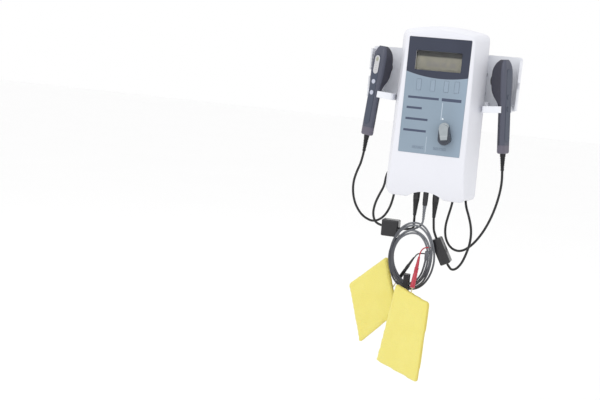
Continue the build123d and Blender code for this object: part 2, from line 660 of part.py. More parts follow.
def pin_plug(ends, radius, tip):
    start, end = Vector(*ends[0]), Vector(*ends[1])
    axis = (end - start).normalized()
    body = rod(ends[0], ends[1], radius)
    body = fillet(body.edges(), 1.0)
    return body + rod(tuple(end - axis), tuple(end + axis * tip), 1.2)


RED_LEAD = [(22, -76, -316), (13, -84, -315), (5, -87, -323), RED_PLUG[0]]
BLACK_LEAD = [(17, -76, -331), (0, -77, -329), BLACK_PLUG[0]]


# ---------------------------------------------------------------- sponge pads
PADS = {
    "right": dict(turn=30.0, centre=(-7, -115, -489),
                  corners=((-34, 95), (60, 76), (51, -96), (-66, -84))),
    "left": dict(turn=20.0, centre=(-90, -40, -448),
                 corners=((19, 97), (62, -18), (-27, -110), (-72, 16))),
}


def pad_frame(turn, centre):
    angle = radians(turn)
    return Plane(origin=centre, x_dir=(cos(angle), -sin(angle), 0), z_dir=(-sin(angle), -cos(angle), 0))


def pad_prism(turn, centre, corners, inset, thick):
    face = make_face(Polyline(*corners, close=True))
    face = offset(face, amount=-inset, kind=Kind.INTERSECTION)
    face = fillet(face.vertices(), 4)
    return extrude(pad_frame(turn, centre) * face, amount=thick / 2, both=True)


def sponge_pad(pad):
    sponge = pad_prism(**pad, inset=0, thick=PAD_THICK)
    sponge = fillet(sponge.edges(), 3.0)
    # pocket for the electrode, open along the edge between the first two corners
    pocket = pad_prism(**pad, inset=9, thick=3.4)
    first, second = (Vector(*corner) for corner in pad["corners"][:2])
    along = (second - first).normalized()
    outward = Vector(-along.Y, along.X)
    mouth = [
        first + along * 12 - outward * 14,
        second - along * 12 - outward * 14,
        second - along * 12 + outward * 14,
        first + along * 12 + outward * 14,
    ]
    face = pad_frame(pad["turn"], pad["centre"]) * make_face(Polyline(*mouth, close=True))
    return sponge - pocket - extrude(face, amount=1.7, both=True)


def rubber_electrodes():
    return joined([pad_prism(**pad, inset=10, thick=2.6) for pad in PADS.values()])


# ---------------------------------------------------------------- write the parts
def all_parts():
    parts = {
        "wall_bracket": wall_bracket(),
        "rear_housing": rear_housing(),
        "front_housing": front_housing(),
        "housing_screws": housing_screws(),
        "control_panel": control_panel(),
        "display_window": display_window(),
        "lcd_module": lcd_module(),
        "main_board": main_board(),
        "power_supply": power_supply(),
        "control_knob": control_knob(),
        "output_sockets": output_sockets(),
        "mains_inlet": mains_inlet(),
        "power_switch": power_switch(),
    }
    for number, x in enumerate(KEY_X, start=1):
        parts[f"soft_key_{number}"] = soft_key(x)
    handset = handset_parts()
    for name, side in (("left", -1), ("right", 1)):
        parts[f"holder_{name}"] = holder(side)
        for part_name, solid in handset.items():
            parts[f"handset_{name}_{part_name}"] = handset_frame(side) * solid
        x = side * PLUG_X
        parts[f"handset_{name}_plug"] = handset_plug(x)
        parts[f"handset_{name}_plug_boot"] = handset_plug_boot(x)
        parts[f"{name}_sponge_pad"] = sponge_pad(PADS[name])
    parts["handset_left_cord"] = cord_tube("left cord", LEFT_CORD, CORD)
    parts["handset_right_cord"] = cord_tube("right cord", RIGHT_CORD, CORD)
    parts["ferrite_left"] = ferrite(LEFT_CORD[-4], LEFT_CORD[-3], FERRITE_LEFT, 0.38, (0, 0, 1))
    parts["ferrite_right"] = ferrite(RIGHT_CORD[-4], RIGHT_CORD[-3], FERRITE_RIGHT, 0.5, (0, 1, 0))
    parts["lead_plug"] = lead_plug()
    parts["lead_plug_boot"] = lead_boot()
    parts["lead_coil"] = lead_coil()
    parts["coil_tie"] = coil_tie()
    parts["red_lead"] = cord_tube("red lead", RED_LEAD, TAIL)
    parts["black_lead"] = cord_tube("black lead", BLACK_LEAD, TAIL)
    parts["red_plug"] = pin_plug(RED_PLUG, 5.0, RED_PIN)
    parts["black_plug"] = pin_plug(BLACK_PLUG, 4.0, BLACK_PIN)
    parts["rubber_electrodes"] = rubber_electrodes()
    return parts


os.makedirs("parts", exist_ok=True)
for node, solid in all_parts().items():
    export_step(solid, f"parts/{node}.step")
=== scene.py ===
import math

import bmesh
import bpy
from mathutils import Matrix, Vector, noise


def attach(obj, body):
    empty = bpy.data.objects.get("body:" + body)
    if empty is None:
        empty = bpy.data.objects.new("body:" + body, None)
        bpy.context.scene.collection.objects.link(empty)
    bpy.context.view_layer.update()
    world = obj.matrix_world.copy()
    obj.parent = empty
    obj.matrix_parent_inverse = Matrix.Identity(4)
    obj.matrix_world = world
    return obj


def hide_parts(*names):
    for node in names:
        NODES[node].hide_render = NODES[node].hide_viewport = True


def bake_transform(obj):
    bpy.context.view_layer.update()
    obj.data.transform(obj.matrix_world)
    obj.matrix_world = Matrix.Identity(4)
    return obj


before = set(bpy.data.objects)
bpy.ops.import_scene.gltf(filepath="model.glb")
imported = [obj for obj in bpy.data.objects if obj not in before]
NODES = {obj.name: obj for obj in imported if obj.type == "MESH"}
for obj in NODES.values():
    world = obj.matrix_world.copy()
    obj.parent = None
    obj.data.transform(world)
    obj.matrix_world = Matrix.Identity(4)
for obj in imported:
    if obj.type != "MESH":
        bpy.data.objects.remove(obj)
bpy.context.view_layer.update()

MM = 0.001


# ---------------------------------------------------------------- camera
CAMERA_TARGET = Vector((-0.2715, -0.060, -0.2579))
CAMERA_DISTANCE = 2.0
CAMERA_AZIMUTH = math.radians(17.75)
CAMERA_ELEVATION = math.radians(8.69)
CAMERA_ROLL = math.radians(5.09)
CAMERA_LENS = 55.85


def place_camera():
    flat = math.cos(CAMERA_ELEVATION)
    x, y = math.sin(CAMERA_AZIMUTH) * flat, -math.cos(CAMERA_AZIMUTH) * flat
    back = Vector((x, y, math.sin(CAMERA_ELEVATION)))
    level = back.cross(Vector((0, 0, -1))).normalized()
    upright = back.cross(level)
    right = math.cos(CAMERA_ROLL) * level + math.sin(CAMERA_ROLL) * upright
    up = back.cross(right)
    data = bpy.data.cameras.new("camera")
    data.lens = CAMERA_LENS
    data.sensor_width = 36.0
    data.clip_start = 0.05
    camera = bpy.data.objects.new("camera", data)
    bpy.context.collection.objects.link(camera)
    turn = Matrix((right, up, back)).transposed().to_4x4()
    camera.matrix_world = Matrix.Translation(CAMERA_TARGET + back * CAMERA_DISTANCE) @ turn
    bpy.context.scene.camera = camera


place_camera()


# ---------------------------------------------------------------- materials
def linear(red, green, blue):
    """8-bit screen colour to the shader's linear colour."""
    values = []
    for value in (red, green, blue):
        share = value / 255
        values.append(share / 12.92 if share <= 0.04045 else ((share + 0.055) / 1.055) ** 2.4)
    return (*values, 1.0)


def scaled(colour, factor):
    return (*(min(1.0, c * factor) for c in colour[:3]), 1.0)


class Graph:
    """A material's node tree, with short calls for the nodes used here."""

    def __init__(self, name, roughness=0.5):
        self.material = bpy.data.materials.new(name)
        self.material.use_nodes = True
        self.tree = self.material.node_tree
        self.shader = self.tree.nodes["Principled BSDF"]
        self.shader.inputs["Roughness"].default_value = roughness
        self.place = self.tree.nodes.new("ShaderNodeTexCoord").outputs["Object"]

    def node(self, kind):
        return self.tree.nodes.new(kind)

    def feed(self, socket, value):
        if isinstance(value, bpy.types.NodeSocket):
            self.tree.links.new(value, socket)
        else:
            socket.default_value = value

    def set(self, name, value):
        self.feed(self.shader.inputs[name], value)

    def math(self, operation, *values):
        node = self.node("ShaderNodeMath")
        node.operation = operation
        for socket, value in zip(node.inputs, values):
            self.feed(socket, value)
        return node.outputs[0]

    def least(self, *values):
        result = values[0]
        for value in values[1:]:
            result = self.math("MINIMUM", result, value)
        return result

    def axes(self, place=None):
        node = self.node("ShaderNodeSeparateXYZ")
        self.feed(node.inputs[0], self.place if place is None else place)
        return node.outputs

    def noise(self, scale, detail=3.0, rough=0.5, place=None):
        node = self.node("ShaderNodeTexNoise")
        self.feed(node.inputs["Vector"], self.place if place is None else place)
        node.inputs["Scale"].default_value = scale
        node.inputs["Detail"].default_value = detail
        node.inputs["Roughness"].default_value = rough
        return node.outputs["Fac"]

    def cells(self, scale, feature="F1"):
        node = self.node("ShaderNodeTexVoronoi")
        node.feature = feature
        self.feed(node.inputs["Vector"], self.place)
        node.inputs["Scale"].default_value = scale
        return node.outputs["Distance"]

    def remap(self, value, low, high, new_low=0.0, new_high=1.0):
        node = self.node("ShaderNodeMapRange")
        limits = {"From Min": low, "From Max": high, "To Min": new_low, "To Max": new_high}
        for name, number in limits.items():
            node.inputs[name].default_value = number
        self.feed(node.inputs["Value"], value)
        return node.outputs[0]

    def mix(self, factor, first, second):
        node = self.node("ShaderNodeMix")
        node.data_type = "RGBA"
        self.feed(node.inputs["Factor"], factor)
        self.feed(node.inputs[6], first)
        self.feed(node.inputs[7], second)
        return node.outputs[2]

    def bump(self, height, distance, strength=1.0, normal=None):
        node = self.node("ShaderNodeBump")
        node.inputs["Distance"].default_value = distance
        node.inputs["Strength"].default_value = strength
        self.feed(node.inputs["Height"], height)
        if normal is not None:
            self.feed(node.inputs["Normal"], normal)
        return node.outputs[0]

    def rounded(self, radius):
        node = self.node("ShaderNodeBevel")
        node.samples = 4
        node.inputs["Radius"].default_value = radius
        return node.outputs[0]


def moulded(name, colour, roughness=0.45, grain=1500.0, depth=0.00003, mottle=0.04, edge=0.0, coat=0.0):
    """Moulded plastic or rubber: a spark-eroded grain, faint mottling and uneven gloss."""
    graph = Graph(name, roughness)
    broad = graph.noise(22.0, 4.0)
    graph.set("Base Color", graph.mix(broad, scaled(colour, 1 - mottle), scaled(colour, 1 + mottle)))
    smear = graph.noise(60.0, 3.0, 0.6)
    graph.set("Roughness", graph.remap(smear, 0.3, 0.7, roughness - 0.06, roughness + 0.06))
    normal = graph.rounded(edge) if edge else None
    fine = graph.noise(grain, 2.0, 0.6)
    graph.set("Normal", graph.bump(fine, depth, 0.6, normal))
    if coat:
        graph.set("Coat Weight", coat)
        graph.set("Coat Roughness", 0.12)
    return graph


def brushed(name, colour, roughness=0.3, metallic=1.0, stretch=(1.0, 1.0, 40.0)):
    """Metal with fine brush lines across the stretched axis."""
    graph = Graph(name, roughness)
    mapping = graph.node("ShaderNodeMapping")
    graph.feed(mapping.inputs["Vector"], graph.place)
    mapping.inputs["Scale"].default_value = stretch
    lines = graph.noise(400.0, 4.0, 0.7, mapping.outputs[0])
    stain = graph.noise(30.0, 4.0)
    graph.set("Base Color", graph.mix(stain, scaled(colour, 0.88), scaled(colour, 1.06)))
    graph.set("Metallic", metallic)
    graph.set("Roughness", graph.remap(lines, 0.3, 0.7, roughness - 0.08, roughness + 0.12))
    graph.set("Normal", graph.bump(lines, 0.00002, 0.5))
    return graph


WHITE = linear(226, 227, 234)
HANDSET = linear(76, 79, 94)
STRIP = linear(58, 66, 84)
BLACK = linear(27, 26, 30)
GREY_LEAD = linear(112, 115, 119)


def inside_box(graph, across, up, left, right, low, high, soft=0.35):
    """1 inside a printed rectangle given in millimetres, 0 outside it."""
    x_gap = graph.math("SUBTRACT", (right - left) / 2 * MM,
                       graph.math("ABSOLUTE", graph.math("SUBTRACT", across, (left + right) / 2 * MM)))
    z_gap = graph.math("SUBTRACT", (high - low) / 2 * MM,
                       graph.math("ABSOLUTE", graph.math("SUBTRACT", up, (low + high) / 2 * MM)))
    return graph.remap(graph.least(x_gap, z_gap), -soft / 2 * MM, soft / 2 * MM)


BARS = ((-53, 9, -16.3, -11.8), (15, 54, -17.0, -11.0), (-54, -23, -37.2, -32.8),
        (-54, -9, -59.3, -54.8), (-56, -10, -82.4, -77.8))
FAINT_LABELS = ((-35, -11, -116, -110), (8, 34, -115, -109))
FINE_LINES = ((17.0, 18.0, -54, -20), (-7.4, -6.8, -122, -90))


def panel_film():
    """Printed film: a dark upper field that ends in an arc, a blue-grey lower field, bars and lines."""
    graph = moulded("panel_film", linear(142, 158, 175), 0.42, 2600.0, 0.00001, 0.03)
    across, _, up = graph.axes()
    drift = graph.noise(14.0, 2.0)
    lower = graph.mix(drift, linear(130, 147, 163), linear(144, 160, 175))
    pale = graph.remap(across, 34 * MM, 58 * MM, 0.0, 0.35)
    colour = graph.mix(pale, lower, linear(150, 169, 188))
    for left, right, low, high in FAINT_LABELS:
        ticks = graph.remap(graph.cells(900.0), 0.2, 0.6, 0.75, 0.15)
        mask = graph.math("MULTIPLY", inside_box(graph, across, up, left, right, low, high), ticks)
        colour = graph.mix(mask, colour, linear(84, 96, 116))
    for left, right, low, high in BARS:
        colour = graph.mix(inside_box(graph, across, up, left, right, low, high), colour, linear(66, 75, 98))
    for left, right, low, high in FINE_LINES:
        mask = graph.math("MULTIPLY", inside_box(graph, across, up, left, right, low, high, 0.3), 0.7)
        colour = graph.mix(mask, colour, linear(214, 226, 236))
    arc = graph.math("MULTIPLY", graph.math("MULTIPLY", across, across), 8 * MM / (62 * MM) ** 2)
    arc = graph.math("SUBTRACT", arc, graph.math("MULTIPLY", across, 2.5 / 62))
    above = graph.math("SUBTRACT", graph.math("SUBTRACT", up, 26 * MM), arc)
    dark = graph.mix(graph.noise(18.0, 2.0), linear(38, 44, 62), linear(49, 55, 74))
    colour = graph.mix(graph.remap(above, -0.3 * MM, 0.3 * MM), colour, dark)
    # a plain pale rule where the two fields meet
    rule = graph.math("SUBTRACT", 0.5 * MM, graph.math("ABSOLUTE", above))
    rule_mask = graph.math("MULTIPLY", graph.remap(rule, 0, 0.3 * MM), 0.35)
    colour = graph.mix(rule_mask, colour, linear(170, 182, 196))
    graph.set("Base Color", colour)
    return graph


def display():
    """Reflective display: a black band along the top, which is a dark surround and painted shadow of the
    recess's upper edge, olive-grey glass with faint unlit dots.
    """
    graph = Graph("display", 0.35)
    across, _, up = graph.axes()
    smudge = graph.noise(120.0, 3.0, 0.6)
    glass = graph.mix(smudge, linear(150, 147, 128), linear(118, 116, 108))
    grid = graph.cells(1300.0)
    glass = graph.mix(graph.remap(grid, 0.2, 0.8, 0.0, 0.12), glass, linear(90, 92, 96))
    for left, right in ((-24, -14), (-12, 2), (6, 16), (22, 34)):
        mask = inside_box(graph, across, up, left, right, 49, 58, 3.0)
        mask = graph.math("MULTIPLY", mask, graph.remap(graph.noise(330.0, 2.0), 0.35, 0.65, 0.1, 0.6))
        glass = graph.mix(mask, glass, linear(104, 98, 112))
    graph.set("Specular IOR Level", 0.2)
    # painted shadow: the black band at the top is a dark surround and the shadow cast by the recess's upper
    # edge
    surround_and_painted_shadow = graph.remap(up, 66.5 * MM, 69.5 * MM)
    graph.set("Base Color", graph.mix(surround_and_painted_shadow, glass, linear(10, 10, 13)))
    graph.set("Roughness", graph.remap(smudge, 0.3, 0.7, 0.3, 0.42))
    graph.set("Normal", graph.bump(grid, 0.00001, 0.3))
    return graph


def window_glass():
    graph = Graph("window_glass", 0.06)
    smear = graph.noise(40.0, 4.0)
    graph.set("Base Color", graph.mix(smear, linear(190, 192, 188), linear(220, 222, 220)))
    graph.set("Roughness", graph.remap(smear, 0.3, 0.7, 0.03, 0.12))
    graph.set("Alpha", 0.05)
    graph.set("Specular IOR Level", 0.15)
    return graph


KNOB_CENTRE = (30.5 * MM, -90.0 * MM)
KNOB_REST = math.radians(9.0)


def knob_plastic():
    """Dark egg with a pale pointer over its upper part, which is also painted light on the knob's lit top.
    The pointer's outline is drawn in the knob's own frame.
    """
    graph = moulded("knob_plastic", linear(52, 58, 70), 0.38, 1600.0, 0.00002, 0.08, 0.0006, 0.1)
    across, _, up = graph.axes()
    x = graph.math("SUBTRACT", across, KNOB_CENTRE[0])
    z = graph.math("SUBTRACT", up, KNOB_CENTRE[1])
    cos, sin = math.cos(KNOB_REST), math.sin(KNOB_REST)
    u = graph.math("ADD", graph.math("MULTIPLY", x, cos), graph.math("MULTIPLY", z, sin))
    v = graph.math("SUBTRACT", graph.math("MULTIPLY", z, cos), graph.math("MULTIPLY", x, sin))
    half = graph.math("ADD", graph.math("MULTIPLY", v, 2.3 / 20), 7.0 * MM)
    side = graph.math("SUBTRACT", half, graph.math("ABSOLUTE", u))
    foot = graph.math("ADD", v, 2.0 * MM)
    # painted light: the pale pointer covers the upper part of the knob, where the light falls
    mask = graph.remap(graph.least(side, foot), -0.2 * MM, 0.5 * MM)
    grain = graph.noise(90.0, 3.0)
    pale = graph.mix(grain, linear(146, 154, 158), linear(164, 171, 176))
    dark = graph.mix(grain, linear(44, 49, 60), linear(62, 68, 80))
    graph.set("Base Color", graph.mix(mask, dark, pale))
    return graph


def sponge():
    """Open-cell sponge: pores of about a millimetre with painted shade in them, deeper colour on the cut
    sides, a glue line.
    """
    graph = Graph("sponge", 0.92)
    u, v, w = graph.axes()
    pores = graph.cells(950.0)
    large = graph.cells(330.0)
    mottle = graph.noise(26.0, 5.0, 0.6)
    colour = graph.mix(mottle, linear(229, 216, 116), linear(236, 226, 134))
    geometry = graph.node("ShaderNodeNewGeometry")
    local = graph.node("ShaderNodeVectorTransform")
    local.vector_type = "NORMAL"
    local.convert_from, local.convert_to = "WORLD", "OBJECT"
    graph.feed(local.inputs[0], geometry.outputs["True Normal"])
    facing = graph.math("ABSOLUTE", graph.axes(local.outputs[0])[2])
    cut = graph.remap(facing, 0.3, 0.7, 0.6, 0.0)
    colour = graph.mix(cut, colour, linear(216, 196, 84))
    # painted shade darkens the middle of each pore
    pore_shade = graph.remap(pores, 0.05, 0.3, 0.4, 0.0)
    colour = graph.mix(pore_shade, colour, linear(198, 180, 88))
    line = graph.remap(graph.math("ABSOLUTE", w), 0.2 * MM, 0.6 * MM, 1.0, 0.0)
    line = graph.math("MULTIPLY", line, cut)
    colour = graph.mix(line, colour, linear(176, 150, 60))
    graph.set("Base Color", colour)
    graph.set("Subsurface Weight", 0.12)
    graph.set("Subsurface Radius", (0.004, 0.003, 0.001))
    graph.set("Sheen Weight", 0.25)
    graph.set("Specular IOR Level", 0.2)
    height = graph.math("ADD", graph.math("MULTIPLY", pores, 0.7), graph.math("MULTIPLY", large, 0.8))
    height = graph.math("SUBTRACT", height, graph.math("MULTIPLY", line, 1.2))
    graph.set("Normal", graph.bump(height, 0.0006, 0.75))
    return graph


def lead_jacket():
    """Grey jacket that turns darker towards the left and the bottom of the coil."""
    graph = moulded("lead", GREY_LEAD, 0.42, 1200.0, 0.00003, 0.07)
    across, _, up = graph.axes()
    lower = graph.remap(up, -375 * MM, -300 * MM, 1.0, 0.0)
    left = graph.remap(across, -60 * MM, -25 * MM, 1.0, 0.0)
    # darker towards the left and the bottom of the coil, by position
    left_and_low = graph.math("MAXIMUM", lower, left)
    base = graph.mix(graph.noise(60.0, 3.0), linear(100, 103, 108), linear(116, 118, 124))
    graph.set("Base Color", graph.mix(left_and_low, base, linear(62, 63, 70)))
    return graph


def circuit_board(name, colour):
    graph = moulded(name, colour, 0.35, 900.0, 0.00003, 0.1)
    tracks = graph.cells(160.0, "DISTANCE_TO_EDGE")
    mask = graph.remap(tracks, 0.02, 0.06, 0.8, 0.0)
    graph.set("Base Color", graph.mix(mask, colour, scaled(colour, 1.9)))
    return graph


def hook_and_loop():
    graph = Graph("hook_and_loop", 0.95)
    loops = graph.cells(1400.0)
    graph.set("Base Color", graph.mix(graph.remap(loops, 0.1, 0.6), linear(20, 20, 23), linear(44, 44, 50)))
    graph.set("Sheen Weight", 0.4)
    graph.set("Normal", graph.bump(loops, 0.0005, 0.8))
    return graph


def label_print():
    """Pale oval label with a plain green spot near its top and faint rules under it."""
    graph = moulded("label_print", linear(190, 190, 196), 0.4, 2000.0, 0.00001, 0.05)
    across, _, up = graph.axes()
    base = graph.mix(graph.noise(90.0, 3.0), linear(178, 178, 180), linear(205, 205, 208))
    spot = graph.math("SQRT", graph.math("ADD", graph.math("POWER", graph.math("MULTIPLY", across, 1.3), 2.0),
                                         graph.math("POWER", graph.math("SUBTRACT", up, 11.0 * MM), 2.0)))
    base = graph.mix(graph.remap(spot, 3.6 * MM, 5.4 * MM, 0.65, 0.0), base, linear(132, 136, 96))
    for low in (-3, -7, -11):
        mask = graph.math("MULTIPLY", inside_box(graph, across, up, -3.5, 3.5, low, low + 0.9), 0.35)
        base = graph.mix(mask, base, linear(120, 120, 134))
    graph.set("Base Color", base)
    return graph


def make_materials():
    edge = 0.0008
    return {
        "housing": moulded("housing", WHITE, 0.36, 1700.0, 0.00003, 0.012, 0.0012),
        "rear": moulded("rear", linear(226, 227, 233), 0.42, 1500.0, 0.00004, 0.015, edge),
        "holder": moulded("holder", linear(230, 232, 238), 0.4, 1500.0, 0.00003, 0.015, edge),
        "panel": panel_film(),
        "display": display(),
        "window": window_glass(),
        "knob": knob_plastic(),
        "key": moulded("key", linear(140, 156, 172), 0.5, 1500.0, 0.00002, 0.05, 0.0004),
        "handset": moulded("handset", HANDSET, 0.4, 1500.0, 0.00003, 0.05, edge),
        # painted shade: the head shell takes a darker copy of the handset colour for the shading on that side
        "head": moulded("head", linear(50, 50, 62), 0.4, 1500.0, 0.00003, 0.05, edge),
        "strip": moulded("strip", STRIP, 0.33, 2200.0, 0.00001, 0.05, 0.0004, 0.15),
        "button": moulded("button", linear(186, 190, 205), 0.4, 1800.0, 0.00002, 0.04, 0.0004),
        "end_cap": moulded("end_cap", linear(98, 94, 107), 0.38, 1500.0, 0.00003, 0.05, edge),
        "rubber": moulded("rubber", linear(22, 22, 25), 0.62, 1300.0, 0.00004, 0.1),
        "black_plastic": moulded("black_plastic", BLACK, 0.34, 1500.0, 0.00003, 0.1, 0.0004, 0.1),
        "cord": moulded("cord", linear(18, 18, 21), 0.36, 1100.0, 0.00003, 0.12),
        "lead": lead_jacket(),
        "lead_plug": moulded("lead_plug", linear(34, 33, 37), 0.4, 1500.0, 0.00003, 0.1),
        "ferrite": moulded("ferrite", linear(22, 21, 26), 0.32, 1500.0, 0.00003, 0.08, 0.0008, 0.25),
        "red": moulded("red", linear(178, 34, 58), 0.28, 1600.0, 0.00002, 0.06, 0.0, 0.3),
        "red_lead": moulded("red_lead", linear(172, 36, 56), 0.4, 1600.0, 0.00002, 0.06),
        "sponge": sponge(),
        "electrode": moulded("electrode", linear(48, 30, 30), 0.6, 700.0, 0.00008, 0.15),
        "board": circuit_board("board", linear(26, 82, 52)),
        "supply": circuit_board("supply", linear(92, 74, 36)),
        "ceramic": moulded("ceramic", linear(206, 200, 184), 0.4, 900.0, 0.00003, 0.05),
        "transducer": brushed("transducer", linear(200, 202, 208), 0.22),
        "bracket": brushed("bracket", linear(176, 179, 184), 0.34),
        "screw": brushed("screw", linear(190, 192, 196), 0.3, 1.0, (1.0, 30.0, 1.0)),
        "pin": brushed("pin", linear(205, 196, 160), 0.25),
        "tie": hook_and_loop(),
        "label": label_print(),
        "lamp": moulded("lamp", linear(232, 240, 246), 0.2, 2500.0, 0.00001, 0.03, 0.0, 0.5),
    }


LOOKS = {name: graph.material for name, graph in make_materials().items()}

NODE_LOOKS = {
    "wall_bracket": "bracket", "rear_housing": "rear", "front_housing": "housing", "housing_screws": "screw",
    "control_panel": "panel", "display_window": "window", "lcd_module": "display", "main_board": "board",
    "power_supply": "supply", "control_knob": "knob", "output_sockets": "black_plastic",
    "mains_inlet": "black_plastic", "power_switch": "black_plastic", "holder_left": "holder",
    "holder_right": "holder", "ferrite_left": "ferrite", "ferrite_right": "ferrite", "coil_tie": "tie",
    "rubber_electrodes": "electrode",
}
HANDSET_LOOKS = {
    "back_shell": "handset", "head_shell": "head", "inlay": "strip", "board": "board",
    "transducer_face": "transducer", "rim_seal": "rubber", "piezo_disc": "ceramic", "end_cap": "end_cap",
    "button_upper": "button", "button_lower": "button",
}


def dress(node, look):
    data = NODES[node].data
    data.materials.clear()
    data.materials.append(LOOKS[look])
    for polygon in data.polygons:
        polygon.material_index = 0


def dress_nodes():
    for node, look in NODE_LOOKS.items():
        dress(node, look)
    for number in range(1, 5):
        dress(f"soft_key_{number}", "key")
    for side in ("left", "right"):
        for part, look in HANDSET_LOOKS.items():
            dress(f"handset_{side}_{part}", look)
    for button in ("upper", "lower"):
        dress(f"handset_right_button_{button}", "strip")


dress_nodes()


# ---------------------------------------------------------------- pieces
def add_piece(name, mesh, look, body, smooth=40.0):
    piece = bpy.data.objects.new(name, mesh)
    bpy.context.collection.objects.link(piece)
    mesh.materials.clear()
    mesh.materials.append(LOOKS[look])
    mesh.shade_smooth()
    mesh.set_sharp_from_angle(angle=math.radians(smooth))
    if body:
        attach(piece, body)
    return piece


def lathe(name, start, direction, profile, look, body, segments=48):
    """A turned piece. The profile is (distance along, radius) pairs in millimetres."""
    direction = Vector(direction).normalized()
    side = direction.orthogonal().normalized()
    other = direction.cross(side)
    start = Vector(start)
    mesh = bpy.data.meshes.new(name)
    made = bmesh.new()
    rings = []
    for along, radius in profile:
        centre = start + direction * along * MM
        ring = []
        for step in range(segments):
            angle = 2 * math.pi * step / segments
            spoke = side * math.cos(angle) + other * math.sin(angle)
            ring.append(made.verts.new(centre + spoke * radius * MM))
        rings.append(ring)
    for low, high in zip(rings, rings[1:]):
        for step in range(segments):
            after = (step + 1) % segments
            made.faces.new((low[step], low[after], high[after], high[step]))
    made.faces.new(list(reversed(rings[0])))
    made.faces.new(rings[-1])
    bmesh.ops.recalc_face_normals(made, faces=made.faces)
    made.to_mesh(mesh)
    made.free()
    return add_piece(name, mesh, look, body)


def ribbed(length, start_radius, end_radius, ribs, depth, core):
    """Profile of a tapered sleeve with ribs between its two ends."""
    profile = [(0.0, start_radius - 0.5), (0.4, start_radius)]
    first, last = length * 0.2, length * 0.9
    pitch = (last - first) / ribs

    def radius_at(along):
        return start_radius + (end_radius - start_radius) * along / length

    for rib in range(ribs):
        low = first + rib * pitch
        profile.append((low, radius_at(low)))
        profile.append((low + pitch * 0.12, max(core, radius_at(low) - depth)))
        profile.append((low + pitch * 0.45, max(core, radius_at(low) - depth)))
        profile.append((low + pitch * 0.57, radius_at(low + pitch * 0.57)))
    profile.append((length - 0.4, end_radius))
    profile.append((length, max(core, end_radius - 0.4)))
    return profile


# ---------------------------------------------------------------- cords
def route_curve(name, points):
    """One NURBS spline whose control points are the route's points, given in millimetres."""
    curve = bpy.data.curves.new(name, "CURVE")
    curve.dimensions = "3D"
    curve.resolution_u = 8
    curve.use_fill_caps = True
    spline = curve.splines.new("NURBS")
    spline.points.add(len(points) - 1)
    for point, place in zip(spline.points, points):
        point.co = (place[0] * MM, place[1] * MM, place[2] * MM, 1.0)
    spline.order_u = 3
    spline.use_endpoint_u = True
    return curve


def read_line(curve):
    """The points that a curve without a bevel passes through."""
    carrier = bpy.data.objects.new("line_reader", curve)
    bpy.context.collection.objects.link(carrier)
    graph = bpy.context.evaluated_depsgraph_get()
    line = bpy.data.meshes.new_from_object(carrier.evaluated_get(graph))
    points = [tuple(vertex.co) for vertex in line.vertices]
    bpy.data.objects.remove(carrier)
    bpy.data.meshes.remove(line)
    return points


def tube_mesh(name, curve, diameter):
    curve.bevel_depth = diameter / 2
    curve.bevel_resolution = 5
    carrier = bpy.data.objects.new("tube_reader", curve)
    bpy.context.collection.objects.link(carrier)
    graph = bpy.context.evaluated_depsgraph_get()
    mesh = bpy.data.meshes.new_from_object(carrier.evaluated_get(graph))
    mesh.name = name
    bpy.data.objects.remove(carrier)
    return mesh


CORD = 5.0 * MM
HANDSET_PLACE = (125.5, -50.0)
HANDSET_TOP = {-1: 83.0, 1: 76.0}
HANDSET_LEAN = 4.8
HANDSET_TURN = {-1: 30.0, 1: 62.0}


def handset_matrix(side):
    x, y = HANDSET_PLACE
    lean = Matrix.Rotation(math.radians(-side * HANDSET_LEAN), 4, "Y")
    turn = Matrix.Rotation(math.radians(side * HANDSET_TURN[side]), 4, "Z")
    return Matrix.Translation(Vector((side * x, y, HANDSET_TOP[side])) * MM) @ lean @ turn


def relief_end(side):
    return tuple(c / MM for c in handset_matrix(side) @ Vector((0, 0, -222.3 * MM)))


LEFT_CORD = [
    relief_end(-1), (-147, -50, -161), (-155, -49, -181), (-161, -48, -205), (-160, -46, -231),
    (-152, -43, -256), (-136, -39, -277), (-113, -35, -287), (-93, -32, -276), (-81, -30, -254),
    (-76, -28, -230), (-74, -26, -207), (-74, -20, -187), (-80, -18, -174), (-92, -18, -173),
    (-98, -20, -186), (-98, -27, -208), (-104, -40, -226), (-110, -49, -247), (-111, -52, -271),
    (-99, -51, -291), (-22, -53, -290), (-20, -61, -273), (-20, -65, -256),
]
RIGHT_CORD = [
    relief_end(1), (146, -50, -162), (145, -49, -187), (140, -47, -217), (131, -43, -249),
    (117, -38, -281), (99, -33, -308), (78, -29, -325), (57, -26, -322), (43, -25, -304),
    (39, -25, -279), (43, -25, -254), (48, -25, -230), (50, -26, -207), (50, -20, -187),
    (56, -18, -174), (68, -18, -173), (74, -20, -186), (74, -27, -208), (79, -40, -227),
    (89, -48, -247), (97, -51, -271), (98, -52, -298), (92, -52, -325), (84, -51, -347),
    (72, -50, -361), (60, -50, -359), (21.5, -50, -290), (20.5, -59, -272),
    (20, -65, -256),
]


def handset_plug(name, x):
    """Moulded plug with finger grooves, on a ribbed boot. Returns both pieces."""
    y, top = -65.0, -192.05
    grooves = [(0.0, 6.9), (0.6, 7.4), (6.0, 7.4)]
    for step in range(4):
        low = 8.0 + step * 4.0
        radius = 7.4 - 0.02 * low
        floor = radius - 0.35
        grooves += [(low, radius), (low + 0.5, floor), (low + 1.3, floor), (low + 1.8, radius)]
    grooves += [(28.0, 6.7), (29.95, 6.5)]
    plug = lathe(f"{name}_plug_body", Vector((x, y, top)) * MM, (0, 0, -1), grooves,
                 "black_plastic", "console")
    boot = lathe(f"{name}_plug_sleeve", Vector((x, y, -222.0)) * MM, (0, 0, -1),
                 ribbed(34.0, 6.5, 3.2, 9, 0.35, 2.7), "rubber", "console")
    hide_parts(f"{name}_plug")
    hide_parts(f"{name}_plug_boot")
    return plug, boot


